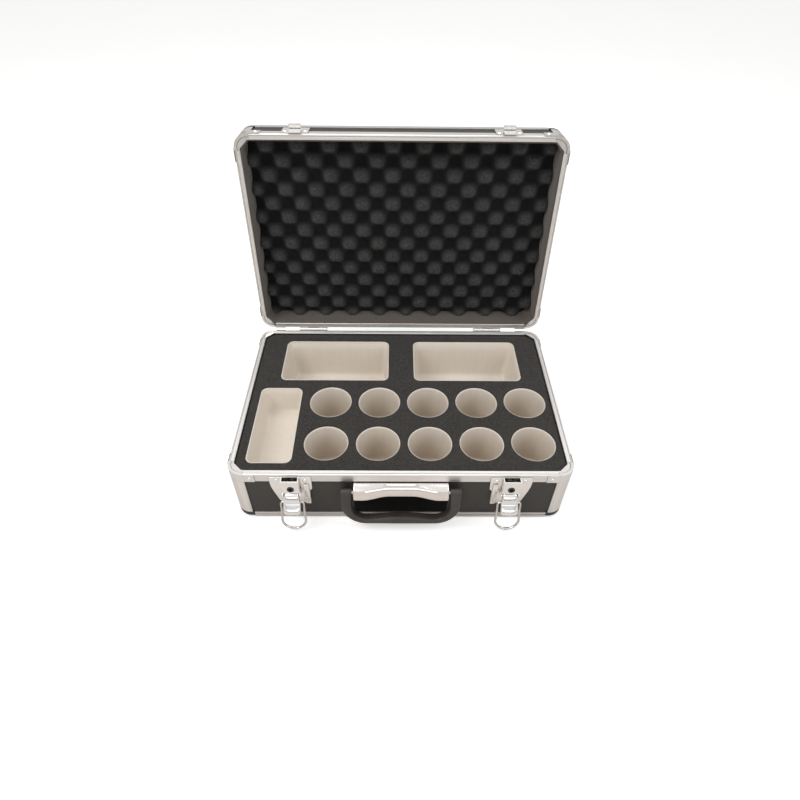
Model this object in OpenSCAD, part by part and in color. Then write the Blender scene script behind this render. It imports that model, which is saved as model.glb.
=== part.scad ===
// Framed carrying case for eyepieces: foam insert with round wells and trays,
// hinged lid with egg-crate foam, two draw latches with locks, carrying handle.
// Origin: centre of the underside. +X right, +Y back (hinges), +Z up.

/* [Case] */
// Outside width, left to right
case_w = 400; // [390:1:410]
// Outside depth, front to back
case_d = 264; // [260:1:270]
// Height of the base, ground to rim top
base_h = 85; // [83:1:88]
// Height of the lid
lid_h = 42; // [41:1:46]
// Lid angle from closed, degrees
lid_open = 96; // [60:1:100]
// Width of the rim extrusion
rim_w = 7; // [6.8:0.1:7]
// Height of the rim extrusion's outer face
rim_h = 12; // [11.5:0.5:12.5]
// Height of the bottom and top edge extrusions
edge_h = 11; // [10:0.5:11.5]
// Radius of the vertical corners
corner_r = 17; // [16:0.5:17]

/* [Insert] */
// Inner diameter of a round well
well_d = 51; // [50.8:0.1:51.4]
// Wall of the liners
liner_t = 1.2; // [1:0.1:1.4]
// Pitch of the wells, left to right
pitch_x = 62.4; // [60:0.2:63]
// Pitch of the wells, front to back
pitch_y = 69.5; // [66:0.1:71]
// Thickness of the foam insert
foam_t = 60; // [59:1:61]

/* [Hardware] */
// Distance of each latch from the middle
latch_x = 126.7; // [122:0.1:130]
// Distance of each hinge from the middle
hinge_x = 126.5; // [115:0.5:130]
// Length of the wire bail
bail_l = 41; // [40:0.5:41.5]
// Wire diameter of the bail
wire_d = 2.4; // [2.2:0.1:2.6]

/* [Hidden] */
$fn = 48;
eps = 0.01;
half_w = case_w / 2;
half_d = case_d / 2;
rim_gap = 0.3;                   // between the two rims when shut
lid_z = base_h + rim_gap;        // lid's lower face, shut
lid_top = lid_z + lid_h;
corner_zone = 19.5;              // from each outer face
fit = 0.1;                       // clearance between neighbouring parts
hinge_y = half_d + 2.5;
hinge_z = base_h + rim_gap / 2;

ALUMINIUM = [0.80, 0.78, 0.76];
PANEL = [0.27, 0.25, 0.24];
LINER = [0.80, 0.75, 0.68];
CORNER = [0.10, 0.10, 0.10];
PIN = [0.6, 0.6, 0.6];
LATCH_PLATE = [0.78, 0.77, 0.75];
LATCH_LEVER = [0.88, 0.88, 0.88];
BAIL = [0.82, 0.80, 0.78];
BARREL = [0.30, 0.30, 0.30];

// ---- placement helpers ----
// swings the shut lid open about the hinge axis
module lid_place() translate([0, hinge_y, hinge_z]) rotate([-lid_open, 0, 0])
  translate([0, -hinge_y, -hinge_z]) children();
// hangs a piece drawn upward from z = 0 under the lid's top face
module from_lid_top() translate([0, 0, lid_top]) mirror([0, 0, 1]) children();
// four corners: local x and y run inward from the outer corner
module corners() for (sx = [-1, 1], sy = [-1, 1])
  translate([sx * half_w, sy * half_d, 0])
    mirror([sx > 0 ? 1 : 0, 0, 0]) mirror([0, sy > 0 ? 1 : 0, 0]) children();
// the four outer corners in plan, not mirrored
module plan_corners() for (sx = [-1, 1], sy = [-1, 1])
  translate([sx * half_w, sy * half_d]) children();
// along both walls of a corner: local x and y exchanged
module both_walls() {
  children();
  mirror([1, -1, 0]) children();
}
// copies at -x and +x, not mirrored
module both_sides(x) for (side = [-1, 1]) translate([side * x, 0, 0]) children();
// straight members; the section is drawn with x inward from the outer face and y up
module front_of(len) translate([0, -half_d, 0]) rotate([90, 0, 90])
  translate([0, 0, -len / 2]) linear_extrude(len) children();
module back_of(len) mirror([0, 1, 0]) front_of(len) children();
module left_of(len) translate([-half_w, 0, 0]) rotate([90, 0, 0])
  translate([0, 0, -len / 2]) linear_extrude(len) children();
module right_of(len) mirror([1, 0, 0]) left_of(len) children();
module rounded_rect(size, r) union() {
  square([size.x - 2 * r, size.y], center = true);
  square([size.x, size.y - 2 * r], center = true);
  for (sx = [-1, 1], sy = [-1, 1])
    translate([sx * (size.x / 2 - r), sy * (size.y / 2 - r)]) circle(r);
}
// rod along x, centred on the origin
module rod_x(len, r) translate([-len / 2, 0, 0]) rotate([0, 90, 0]) cylinder(h = len, r = r);
// two rods running outward from -start and +start
module outward_rods(start, len, r) for (side = [-1, 1])
  translate([side * start, 0, 0]) rotate([0, side * 90, 0]) cylinder(h = len, r = r);

// ---- rivets and their bores ----
shank_r = 1.6;
bore_r = 1.65;
bore_l = 8;
rivet_inset = 7.6;               // rivet's height from the rim's mating face
base_rivet_z = base_h - rivet_inset;
lid_rivet_z = lid_z + rivet_inset;
plate_rivet_z = base_h - 9.6;    // rivets of the latch plates
tab_rivet_x = 26.5;              // rivet in a bracket tab, from the corner
plate_rivet_x = 16.5;            // from the latch's middle
catch_rivet_x = 12;              // from the latch's middle
leaf_rivet_x = 12;               // from the hinge's middle

module rivet_bore() translate([0, bore_l / 2, 0]) rotate([90, 0, 0])
  cylinder(h = bore_l, r = bore_r);
module front_bore(z) translate([0, -half_d, z]) rivet_bore();
module back_bore(z) translate([0, half_d, z]) rivet_bore();
module hinge_bores(z) both_sides(hinge_x) both_sides(leaf_rivet_x) back_bore(z);
module tab_bores(z) both_walls() translate([tab_rivet_x, 0, z]) rivet_bore();
// cuts the bores for the bracket tabs at all corners
module tab_bored(z) difference() {
  children();
  corners() tab_bores(z);
}
// shank and domed head, which faces -y; proud is the head's seat above the rim
module rivet(proud) rotate([90, 0, 0]) rotate_extrude() union() {
  translate([0, -proud - 1.25]) square([shank_r, proud + 1.3]);
  intersection() {
    translate([0, -3.2]) circle(4.4);
    translate([0, 0.02]) square([3, 2]);
  }
}
module corner_rivets(z) corners() both_walls() translate([tab_rivet_x, -0.87, z]) rivet(0.85);
module front_rivets(x, z) both_sides(latch_x) both_sides(x)
  translate([0, -half_d - 1.32, z]) rivet(1.25);
module back_rivets(z) mirror([0, 1, 0]) both_sides(hinge_x) both_sides(leaf_rivet_x)
  translate([0, -half_d - 1.27, z]) rivet(1.2);

// ---- extrusion sections (x inward from the outer face) ----
inner_leg_x = 5.4;               // inner leg of both extrusions
inner_leg_t = 1;
skin_t = 1.2;                    // rim's outer wall
rim_r = 1.5;                     // rim's rounding, outer side
bead_r = 0.8;                    // rim's rounding, inner side
rim_top_t = 2.6;
edge_t = 1.3;                    // wall of the edges and corner columns
edge_r = 3;                      // edge's rounding
edge_foot = 6;                   // flat foot beyond the rounding

// rim, mating face at y = 0 and body below it
module rim_sec() difference() {
  union() {
    translate([0, -rim_h]) square([skin_t, rim_h - rim_r]);
    intersection() {
      translate([rim_r, -rim_r]) circle(rim_r);
      translate([0, -rim_r]) square([2 * rim_r, rim_r]);
    }
    translate([rim_r, -rim_top_t]) square([rim_w - rim_r - bead_r, rim_top_t]);
    translate([0, -rim_top_t]) square([rim_w, rim_top_t - rim_r]);
    translate([rim_r, -rim_top_t]) square([rim_w - rim_r, rim_top_t - bead_r]);
    translate([rim_w - bead_r, -bead_r]) circle(bead_r);
    translate([inner_leg_x, -rim_h]) square([inner_leg_t, rim_h - bead_r]);
  }
  // groove in the mating face
  translate([1.9, -0.5]) square([0.7, 0.8]);
}
// edge with a rounded outer corner, bottom at y = 0
module edge_sec() difference() {
  union() {
    translate([0, edge_r]) square([edge_t, edge_h - edge_r]);
    translate([edge_r, 0]) square([edge_foot, edge_t]);
    intersection() {
      translate([edge_r, edge_r]) circle(edge_r);
      square([edge_r, edge_r]);
    }
    translate([inner_leg_x, 0]) square([inner_leg_t, edge_h]);
  }
  translate([edge_r, edge_r]) circle(edge_r - edge_t);
  // groove in the outer face
  translate([-0.1, 6.4]) square([0.5, 0.7]);
}
module panel_sec(z0, z1) translate([edge_t + fit, z0]) square([3.8, z1 - z0]);

// ---- parts shared by base and lid ----
rim_len_x = case_w - 2 * corner_zone - 0.1;
rim_len_y = case_d - 2 * corner_zone - 0.1;
edge_len_x = rim_len_x - 4;
edge_len_y = rim_len_y - 4;
panel_len_x = case_w - 32;
panel_len_y = case_d - 32;
panel_to_ground = 3.1;           // panel's end from the case's bottom or top
panel_to_rim = 2.7;              // panel's end from the rim's mating face
board_t = 5.5;                   // floor and lid top
board_inset = 6.55;
board_room = board_t + 0.2;      // space kept from the outside for a board

// board with square corner cuts, rebated on its outer side for the edges' feet
module board() difference() {
  rebate = edge_r + edge_foot + fit;
  linear_extrude(board_t) difference() {
    square([case_w - 2 * board_inset, case_d - 2 * board_inset], center = true);
    plan_corners() square([44, 44], center = true);
  }
  difference() {
    translate([-half_w, -half_d, -1]) cube([case_w, case_d, 1 + edge_t + fit]);
    translate([-half_w + rebate, -half_d + rebate, -2])
      cube([case_w - 2 * rebate, case_d - 2 * rebate, 5]);
  }
}

// quarter ring round a corner with straight legs
module corner_sec(thick, leg) difference() {
  union() {
    intersection() {
      translate([corner_r, corner_r]) circle(corner_r);
      square([corner_r, corner_r]);
    }
    translate([corner_r, 0]) square([leg - corner_r, thick]);
    translate([0, corner_r]) square([thick, leg - corner_r]);
  }
  intersection() {
    translate([corner_r, corner_r]) circle(corner_r - thick);
    square([corner_r + eps, corner_r + eps]);
  }
}
column_gap = 0.55;               // between a column and the rim
module columns(z0, z1) corners() translate([0, 0, z0]) linear_extrude(z1 - z0)
  corner_sec(edge_t, corner_zone);

// plastic corner: a rounded cup with a short leg along each edge
ball_h = 11;
ball_t = 1.8;
ball_edge_r = 6;                 // rounding of its lower edge
round_centre = 17;               // centre of the plan rounding of cups and blocks
ball_leg_end = corner_zone + 1.9;
function ball_arc(r, angles) =
  [for (a = angles) [ball_edge_r - r * cos(a), ball_edge_r - r * sin(a)]];
// section of the cup wall: x inward, y up
ball_pts = concat(
  [[0, ball_h], [0, ball_edge_r]],
  ball_arc(ball_edge_r, [10 : 10 : 80]),
  [[ball_edge_r, 0], [round_centre, 0], [round_centre, ball_t], [ball_edge_r, ball_t]],
  ball_arc(ball_edge_r - ball_t, [80 : -10 : 10]),
  [[ball_t, ball_edge_r], [ball_t, ball_h]]);
module ball_corner() difference() {
  leg = ball_leg_end - round_centre;
  union() {
    translate([round_centre, round_centre, 0]) rotate_extrude(angle = 90, start = 180)
      polygon([for (p = ball_pts) [round_centre - p[0], p[1]]]);
    both_walls() translate([0, ball_leg_end, 0]) rotate([90, 0, 0])
      linear_extrude(leg) polygon(ball_pts);
    translate([round_centre, round_centre, 0]) cube([leg, leg, ball_t]);
  }
  // room for the ends of the panels
  both_walls() translate([1.3, 15.9, 3]) cube([20, 20, 20]);
}

// stamped bracket: rounded shell round the rim corner with riveted tabs
tab_end = 32.5;                  // from the corner
tab_y = -0.85;                   // tab's outer face
bracket_h = rim_h + 0.4;
bracket_lip_t = 1.2;
// lip_z is the lip's height above the bracket's bottom
module brackets(bottom, lip_z, rivet_z) corners() difference() {
  leg = corner_zone - fit;
  translate([0, 0, bottom]) union() {
    linear_extrude(bracket_h) corner_sec(edge_t, leg);
    translate([0, 0, lip_z]) linear_extrude(bracket_lip_t) corner_sec(3.5, leg);
    both_walls() translate([corner_r, tab_y, 0]) {
      cube([tab_end - corner_r, 0.8, rim_h]);
      cube([corner_zone - corner_r, 1.4, rim_h]);
    }
  }
  tab_bores(rivet_z);
}

// solid bridge between two rims, 45 degrees inside, arched outside
module block_sec() difference() {
  outer = 4;
  inner = 7;
  leg = corner_zone - fit;
  polygon([[outer, leg], [outer, outer], [leg, outer], [leg, inner],
    [round_centre, inner], [inner, round_centre], [inner, leg]]);
  difference() {
    translate([-1, -1]) square([round_centre + 1, round_centre + 1]);
    translate([round_centre, round_centre]) circle(round_centre - outer);
  }
}
// mating face near z = 0; the lower part clears the ends of the panels
module corner_block() {
  translate([0, 0, -2.55]) linear_extrude(2.25) block_sec();
  translate([0, 0, -rim_h]) linear_extrude(rim_h - 2.5) difference() {
    block_sec();
    translate([15.8, 0]) square([5, 5.4]);
    translate([0, 15.8]) square([5.4, 5]);
  }
}

// ---- base shell ----
screw_x = 30;                    // handle screws, from the middle
screw_z = 64;
module screw_bores(r) both_sides(screw_x) translate([0, -half_d + 8.5, screw_z])
  rotate([90, 0, 0]) cylinder(h = 13, r = r);

module base_panel_sec() panel_sec(panel_to_ground, base_h - panel_to_rim);
module base_panel_front() color(PANEL) difference() {
  front_of(panel_len_x) base_panel_sec();
  screw_bores(1.7);
}
module base_panel_back() color(PANEL) back_of(panel_len_x) base_panel_sec();
module base_panel_left() color(PANEL) left_of(panel_len_y) base_panel_sec();
module base_panel_right() color(PANEL) right_of(panel_len_y) base_panel_sec();
module base_floor() color(PANEL) board();

module base_rim_sec() translate([0, base_h]) rim_sec();
module base_rim_front() color(ALUMINIUM) difference() {
  tab_bored(base_rivet_z) front_of(rim_len_x) base_rim_sec();
  both_sides(latch_x) both_sides(plate_rivet_x) front_bore(plate_rivet_z);
}
module base_rim_back() color(ALUMINIUM) difference() {
  tab_bored(base_rivet_z) back_of(rim_len_x) base_rim_sec();
  hinge_bores(base_rivet_z);
}
module base_rim_left() color(ALUMINIUM)
  tab_bored(base_rivet_z) left_of(rim_len_y) base_rim_sec();
module base_rim_right() color(ALUMINIUM)
  tab_bored(base_rivet_z) right_of(rim_len_y) base_rim_sec();

module base_edge_front() color(ALUMINIUM) front_of(edge_len_x) edge_sec();
module base_edge_back() color(ALUMINIUM) back_of(edge_len_x) edge_sec();
module base_edge_left() color(ALUMINIUM) left_of(edge_len_y) edge_sec();
module base_edge_right() color(ALUMINIUM) right_of(edge_len_y) edge_sec();

module base_corner_columns() color(ALUMINIUM)
  columns(ball_h + fit, base_h - rim_h - column_gap);
module base_ball_corners() color(CORNER) corners() ball_corner();
module base_rim_brackets() color(ALUMINIUM)
  brackets(base_h - bracket_h, bracket_h - bracket_lip_t, base_rivet_z);
module base_corner_blocks() color(ALUMINIUM) corners() translate([0, 0, base_h]) corner_block();

// ---- insert ----
foam_top = base_h - 3;
foam_z = foam_top - foam_t;
foam_inset = 7.1;
foam_corner_cut = 34.2;          // side of the 45 degree square cut from a corner
liner_floor = 1.5;
well_outer_r = well_d / 2 + liner_t;
// two rows of five wells, back row first
wells = [for (row = [0, 1], i = [-1.5 : 1 : 2.5]) [i * pitch_x + 3.7, -11.8 - row * pitch_y]];
tray_r = 8.5;
big_tray = [144.5, 81];
big_tray_xs = [-88.5, 90];
big_tray_y = 69.2;
small_tray = [54, 125.5];
small_tray_at = [-155.1, -49.7];
small_tray_h = 40;
tray_fit = [0.2, 0.2];

// inside plan with cut corners, shrunk by inset
module insert_plan(inset) difference() {
  shrink = 2 * (foam_inset + inset);
  square([case_w - shrink, case_d - shrink], center = true);
  plan_corners() rotate(45)
    square([foam_corner_cut + 2 * inset, foam_corner_cut + 2 * inset], center = true);
}
module foam_insert() color([0.20, 0.19, 0.19]) difference() {
  translate([0, 0, foam_z]) linear_extrude(foam_t) insert_plan(0);
  for (p = wells) translate([p.x, p.y, foam_z - 1])
    cylinder(h = foam_t + 2, r = well_outer_r + fit);
  for (x = big_tray_xs) translate([x, big_tray_y, foam_z - 1])
    linear_extrude(foam_t + 2) rounded_rect(big_tray + tray_fit, tray_r);
  translate([small_tray_at.x, small_tray_at.y, foam_top - small_tray_h - 0.2])
    linear_extrude(50) rounded_rect(small_tray + tray_fit, tray_r);
}
module foam_pad() color([0.18, 0.18, 0.18]) translate([0, 0, board_room])
  linear_extrude(foam_z - board_room - 0.2) insert_plan(0);
module eyepiece_cups() color(LINER) for (p = wells) translate([p.x, p.y, foam_z]) difference() {
  cylinder(h = foam_t, r = well_outer_r);
  translate([0, 0, liner_floor]) cylinder(h = foam_t, r = well_d / 2);
}
// tray with rounded corners; each side leans in by draft towards the floor
module tray(size, h, draft) {
  floor_size = size - 2 * draft * [1, 1];
  walls = 2 * liner_t * [1, 1];
  difference() {
    hull() {
      translate([0, 0, h - 1]) linear_extrude(1) rounded_rect(size, tray_r);
      linear_extrude(1) rounded_rect(floor_size, tray_r);
    }
    hull() {
      translate([0, 0, h]) linear_extrude(1) rounded_rect(size - walls, tray_r - liner_t);
      translate([0, 0, liner_floor]) linear_extrude(0.5)
        rounded_rect(floor_size - walls, tray_r - liner_t);
    }
  }
}
module big_tray_at(x) translate([x, big_tray_y, foam_z]) tray(big_tray, foam_t, draft = 5);
module tray_left() color(LINER) big_tray_at(big_tray_xs[0]);
module tray_right() color(LINER) big_tray_at(big_tray_xs[1]);
module tray_small() color(LINER)
  translate([small_tray_at.x, small_tray_at.y, foam_top - small_tray_h])
    tray(small_tray, small_tray_h, draft = 3);

// ---- lid, drawn shut and swung open by lid_place ----
module lid_panel_sec() panel_sec(lid_z + panel_to_rim, lid_top - panel_to_ground);
module lid_panel_top() color(PANEL) lid_place() from_lid_top() board();
module lid_panel_front() color(PANEL) lid_place() front_of(panel_len_x) lid_panel_sec();
module lid_panel_back() color(PANEL) lid_place() back_of(panel_len_x) lid_panel_sec();
module lid_panel_left() color(PANEL) lid_place() left_of(panel_len_y) lid_panel_sec();
module lid_panel_right() color(PANEL) lid_place() right_of(panel_len_y) lid_panel_sec();

module lid_rim_sec() translate([0, lid_z]) mirror([0, 1]) rim_sec();
module lid_rim_front() color(ALUMINIUM) lid_place() difference() {
  tab_bored(lid_rivet_z) front_of(rim_len_x) lid_rim_sec();
  both_sides(latch_x) both_sides(catch_rivet_x) front_bore(lid_rivet_z);
}
module lid_rim_back() color(ALUMINIUM) lid_place() difference() {
  tab_bored(lid_rivet_z) back_of(rim_len_x) lid_rim_sec();
  hinge_bores(lid_rivet_z);
}
module lid_rim_left() color(ALUMINIUM) lid_place()
  tab_bored(lid_rivet_z) left_of(rim_len_y) lid_rim_sec();
module lid_rim_right() color(ALUMINIUM) lid_place()
  tab_bored(lid_rivet_z) right_of(rim_len_y) lid_rim_sec();

module lid_edge_sec() translate([0, lid_top]) mirror([0, 1]) edge_sec();
module lid_edge_front() color(ALUMINIUM) lid_place() front_of(edge_len_x) lid_edge_sec();
module lid_edge_back() color(ALUMINIUM) lid_place() back_of(edge_len_x) lid_edge_sec();
module lid_edge_left() color(ALUMINIUM) lid_place() left_of(edge_len_y) lid_edge_sec();
module lid_edge_right() color(ALUMINIUM) lid_place() right_of(edge_len_y) lid_edge_sec();

module lid_corner_columns() color(ALUMINIUM) lid_place()
  columns(lid_z + rim_h + column_gap, lid_top - ball_h - fit);
module lid_ball_corners() color(CORNER) lid_place() corners() from_lid_top() ball_corner();
module lid_rim_brackets() color(ALUMINIUM) lid_place() brackets(lid_z, 0, lid_rivet_z);
module lid_corner_blocks() color(ALUMINIUM) lid_place() corners()
  translate([0, 0, lid_z]) mirror([0, 0, 1]) corner_block();

lining_t = 1.5;
lining_z = 0.8;                  // lining's open end above the lid's lower face
egg_foam_z = 18.6;               // foam's lower face above the lid's lower face
egg_foam_gap = 0.2;              // between foam and lining
module lid_lining() color([0.39, 0.35, 0.32]) lid_place() difference() {
  translate([0, 0, lid_z + lining_z]) linear_extrude(lid_h - board_room - lining_z)
    insert_plan(0);
  translate([0, 0, lid_z]) linear_extrude(lid_h - board_room - lining_t)
    insert_plan(lining_t);
}
module lid_egg_foam() color([0.16, 0.16, 0.16]) lid_place()
  translate([0, 0, lid_z + egg_foam_z])
    linear_extrude(lid_h - board_room - lining_t - egg_foam_gap - egg_foam_z)
      insert_plan(lining_t + egg_foam_gap);

// ---- hinges ----
leaf_w = 40;
leaf_t = 1.2;
leaf_y = half_d + 0.05;
// one leaf at each hinge, rising from seam_z, or hanging from it if flip is 1;
// spans are the [start, end] of its knuckles along x
module hinge_leaves(seam_z, flip, rivet_z, spans) both_sides(hinge_x) difference() {
  union() {
    translate([0, leaf_y, seam_z]) mirror([0, 0, flip]) {
      translate([-leaf_w / 2, 0, 2.7]) cube([leaf_w, leaf_t, 20.3]);
      for (k = spans) translate([k[0], 0, 0]) cube([k[1] - k[0], leaf_t, 4]);
    }
    for (k = spans) translate([k[0], hinge_y, hinge_z]) rotate([0, 90, 0])
      cylinder(h = k[1] - k[0], r = 2.3);
  }
  translate([0, hinge_y, hinge_z]) rod_x(2 * leaf_w, 1.25);
  both_sides(leaf_rivet_x) back_bore(rivet_z);
}
module hinge_base_leaves() color(ALUMINIUM)
  hinge_leaves(base_h, 1, base_rivet_z, [[-leaf_w / 2, -7], [7, leaf_w / 2]]);
module hinge_lid_leaves() color(ALUMINIUM) lid_place()
  hinge_leaves(lid_z, 0, lid_rivet_z, [[-6.8, 6.8]]);
module hinge_pins() color(PIN) both_sides(hinge_x)
  translate([0, hinge_y, hinge_z]) rod_x(leaf_w, 1.2);

// ---- handle ----
handle_y = -half_d - 8;          // handle axis
handle_z = 63;
handle_tilt = 8;                 // swung forward from hanging
bracket_w = 110;
bracket_back = -half_d + 1.3;
// the bracket's front edge is arched inward at the middle
function bracket_front(x) = -half_d - 8.5 - 6 * pow(abs(x) / (bracket_w / 2), 1.6);
// plan of the bracket, front and sides moved in by inset
function bracket_plan(inset) =
  let (half = bracket_w / 2 - inset)
  concat(
    [for (i = [0 : 24]) let (x = -half + i * 2 * half / 24) [x, bracket_front(x) + inset]],
    [[half, bracket_back], [-half, bracket_back]]);
module handle_bracket() color([0.86, 0.86, 0.86]) difference() {
  union() {
    difference() {
      translate([0, 0, 55]) linear_extrude(16.5) polygon(bracket_plan(0));
      translate([0, 0, 53.5]) linear_extrude(16) polygon(bracket_plan(2.2));
    }
    // screw bosses
    both_sides(screw_x) translate([0, bracket_back, screw_z]) rotate([90, 0, 0])
      cylinder(h = 10.5, r = 4.5);
    // blocks that hold the pins
    both_sides(bracket_w / 2 - 4) translate([-4, handle_y - 4.5, handle_z - 5])
      cube([8, 9, 9]);
  }
  screw_bores(1.6);
  translate([0, handle_y, handle_z]) outward_rods(bracket_w / 2 - 9, 20, 2.03);
}

grip_half = 70;                  // half width of the grip
grip_drop = 43.2;                // from the axis to the bar's centre line
grip_r = 6.2;                    // section radius
grip_bend_r = 24;                // centre-line radius of its bends
hub_l = 13.2;                    // hub round the pin
neck_h = 3;                      // taper at the top of each leg
module handle_grip() color([0.13, 0.13, 0.13])
  translate([0, handle_y, handle_z]) rotate([-handle_tilt, 0, 0]) difference() {
    leg_x = grip_half - grip_r;
    bend_x = leg_x - grip_bend_r;
    bend_z = -grip_drop + grip_bend_r;
    union() {
      for (m = [0, 1]) mirror([m, 0, 0]) {
        translate([grip_half - hub_l, 0, 0]) rotate([0, 90, 0]) cylinder(h = hub_l, r = 4.8);
        translate([leg_x, 0, bend_z]) cylinder(h = -bend_z - neck_h, r = grip_r);
        translate([leg_x, 0, -neck_h]) cylinder(h = neck_h, r1 = grip_r, r2 = 4.2);
        translate([bend_x, 0, bend_z]) rotate([90, 0, 0])
          rotate_extrude(angle = 90, start = 270) translate([grip_bend_r, 0]) circle(grip_r);
        translate([0, 0, -grip_drop]) rotate([0, 90, 0]) cylinder(h = bend_x, r = grip_r);
      }
    }
    outward_rods(grip_half - hub_l - fit, 8.5, 2.06);
    // flat inner face of each hub
    both_sides(grip_half - hub_l - 5) cube([10, 30, 30], center = true);
  }
module handle_pins() color(PIN) translate([0, handle_y, handle_z])
  outward_rods(bracket_w / 2 - 7.5, 15.5, 2.0);

// ---- latches; side is -1 for the left one, 1 for the right one ----
lever_y = -half_d - 6.5;         // lever axis
lever_z = 57;
lever_tilt = 30;                 // lever's angle from hanging
lever_bore_r = 1.53;
eye_drop = 10;                   // bail eye from the lever axis, along the lever
eye_out = 0.9;                   // and across it
lock_z = 68;
wall_t = 1.4;                    // ears of the plate and walls of the lever

// x runs inward, towards the case's middle
module at_latch(side) translate([side * latch_x, 0, 0])
  mirror([side > 0 ? 1 : 0, 0, 0]) children();
// a pair of walls whose outer faces are at -half and +half
module wall_pair(half) for (x = [-half, half - wall_t]) translate([x, 0, 0]) children();

// latch plate outline: x inward from the latch's middle, z
plate_pts = [
  [-23.8, 82], [-24.3, 72], [-23.6, 64], [-21.2, 54], [-16.5, 38], [-14.5, 36], [8, 36],
  [13, 33.5], [15, 32], [18.5, 32], [20.3, 34], [20.6, 57], [23.4, 61], [23.9, 72], [23.8, 82]];
module latch_plate(side) at_latch(side) difference() {
  union() {
    translate([0, -half_d - 0.1, 0]) rotate([90, 0, 0]) linear_extrude(1.2) polygon(plate_pts);
    // stepped flange on the inner side
    translate([14.6, -half_d - 3.1, 34]) cube([5.5, 3, 37]);
    // lock box
    translate([-10, -half_d - 8.2, 60.5]) cube([20, 8.1, 21.5]);
    // ears for the lever pin
    wall_pair(10.6) {
      translate([0, lever_y, lever_z]) rotate([0, 90, 0]) cylinder(h = wall_t, r = 3.2);
      translate([0, lever_y - 1, lever_z]) cube([wall_t, 6.6, 6]);
      translate([0, -half_d - 3.2, lever_z - 3.2]) cube([wall_t, 3, 6]);
    }
  }
  // inside of the lock box, open at the top
  translate([-9, -half_d - 7.2, 61.5]) cube([18, 6, 25]);
  translate([0, -half_d + 2, lock_z]) rotate([90, 0, 0]) cylinder(h = 12, r = 4.05);
  translate([0, lever_y, lever_z]) rod_x(40, lever_bore_r);
  both_sides(plate_rivet_x) front_bore(plate_rivet_z);
}
module latch_plate_left() color(LATCH_PLATE) latch_plate(-1);
module latch_plate_right() color(LATCH_PLATE) latch_plate(1);

// pressed lever: strap with side walls and a curled tip
strap_t = 2.4;
lever_eye_r = 3.0;
curl_r = 7;
curl_y = -16.9;
tip_l = 3;
module lever_sec() union() {
  circle(lever_eye_r);
  translate([lever_eye_r - strap_t, -17]) square([strap_t, 17]);
  translate([lever_eye_r - curl_r, curl_y]) intersection() {
    difference() {
      circle(curl_r);
      circle(curl_r - strap_t);
    }
    translate([0, -9]) square([9, 9]);
  }
  translate([lever_eye_r - curl_r - tip_l, curl_y - curl_r]) square([tip_l, strap_t]);
}
lever_half_w = 9;
module latch_lever(side) at_latch(side)
  translate([0, lever_y, lever_z]) rotate([-lever_tilt, 0, 0]) difference() {
    union() {
      rotate([90, 0, -90]) translate([0, 0, -lever_half_w])
        linear_extrude(2 * lever_half_w) lever_sec();
      wall_pair(lever_half_w) translate([0, -2.6, -14]) cube([wall_t, 5.8, 14]);
    }
    rod_x(40, lever_bore_r);
    translate([0, eye_out, -eye_drop]) rod_x(40, wire_d / 2 + 0.06);
    translate([-7.5, -0.4, -16.5]) cube([15, 8, 11.5]);
  }
module latch_lever_left() color(LATCH_LEVER) latch_lever(-1);
module latch_lever_right() color(LATCH_LEVER) latch_lever(1);

// wire ring hanging from its eyes in the lever
eye_y = lever_y - eye_drop * sin(lever_tilt) + eye_out * cos(lever_tilt);
eye_z = lever_z - eye_drop * cos(lever_tilt) - eye_out * sin(lever_tilt);
bail_tilt = 15;                  // bail's angle from hanging
bail_half_w = 13;
bail_end_r = 10;                 // bends at the free end
bail_eye_r = 2;                  // bends at the eyes
bail_start = 5.8;                // wire's end from the middle
module wire(len) cylinder(h = len, r = wire_d / 2);
// quarter bend in the xz plane
module wire_bend(r, start) rotate([90, 0, 0])
  rotate_extrude(angle = 90, start = start) translate([r, 0]) circle(wire_d / 2);
module bail(side) at_latch(side) translate([0, eye_y, eye_z]) rotate([-bail_tilt, 0, 0])
  for (m = [0, 1]) mirror([m, 0, 0]) {
    translate([bail_start, 0, 0]) rotate([0, 90, 0])
      wire(bail_half_w - bail_start - bail_eye_r);
    translate([bail_half_w - bail_eye_r, 0, -bail_eye_r]) wire_bend(bail_eye_r, 0);
    translate([bail_half_w, 0, -bail_l + bail_end_r]) wire(bail_l - bail_end_r - bail_eye_r);
    translate([bail_half_w - bail_end_r, 0, -bail_l + bail_end_r]) wire_bend(bail_end_r, 270);
    translate([0, 0, -bail_l]) rotate([0, 90, 0]) wire(bail_half_w - bail_end_r);
  }
module latch_bail_left() color(BAIL) bail(-1);
module latch_bail_right() color(BAIL) bail(1);
module latch_pins() color(PIN) both_sides(latch_x)
  translate([0, lever_y, lever_z]) rod_x(22, 1.5);

module lock_barrel(side) at_latch(side) difference() {
  union() {
    translate([0, -half_d - 1.6, lock_z]) rotate([90, 0, 0]) cylinder(h = 7.4, r = 4.0);
    translate([0, -half_d - 3.4, lock_z]) rotate([90, 0, 0]) cylinder(h = 3, r = 5.2);
  }
  // keyhole: round hole with a slot below
  translate([0, -half_d - 6, lock_z + 0.6]) rotate([90, 0, 0]) cylinder(h = 10, r = 2);
  translate([-0.7, -half_d - 16, lock_z - 3]) cube([1.4, 10, 3.6]);
}
module lock_barrel_left() color(BARREL) lock_barrel(-1);
module lock_barrel_right() color(BARREL) lock_barrel(1);

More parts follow.
